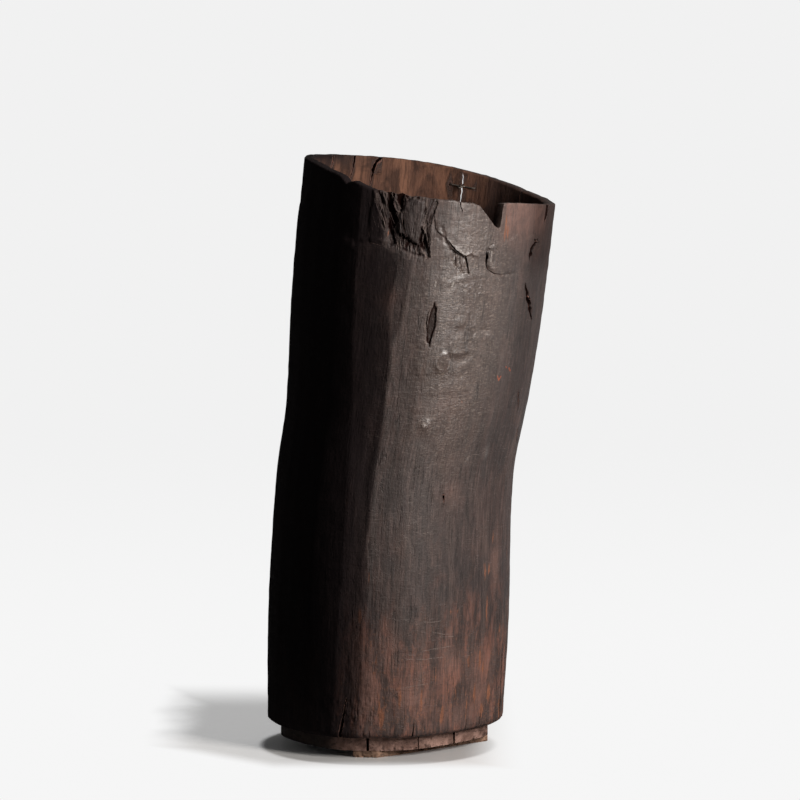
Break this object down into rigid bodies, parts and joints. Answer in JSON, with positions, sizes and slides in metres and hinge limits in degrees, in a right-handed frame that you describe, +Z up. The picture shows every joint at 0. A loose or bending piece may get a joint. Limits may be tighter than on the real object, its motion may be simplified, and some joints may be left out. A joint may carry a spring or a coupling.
{
  "type": "tree trunk vessel",
  "caption": "Tall open vessel hollowed from a leaning length of tree trunk, with a slanting rough rim and a foot closed by short boards and a sole.",
  "frame": {"origin": "on the underside of the sole, below the middle of the foot, where the vessel meets the floor", "axes": "+Z up along the vessel, +X to the right of the front view, the way the trunk leans, -Y towards the viewer"},
  "size_m": [0.3036, 0.2585, 0.6181],
  "materials": {
    "trunk_wood": "weathered, handled, dull sheen",
    "board_wood": "rough, dry",
    "sole_wood": "rough, dry, dark",
    "iron_wire": "dull, weathered"
  },
  "bodies": {
    "root": {"trunk_shell": "trunk_wood", "base_board_1": "board_wood", "base_board_2": "board_wood", "base_board_3": "board_wood", "base_board_4": "board_wood", "base_sole": "sole_wood", "wire_tie": "iron_wire"}
  },
  "joints": []
}
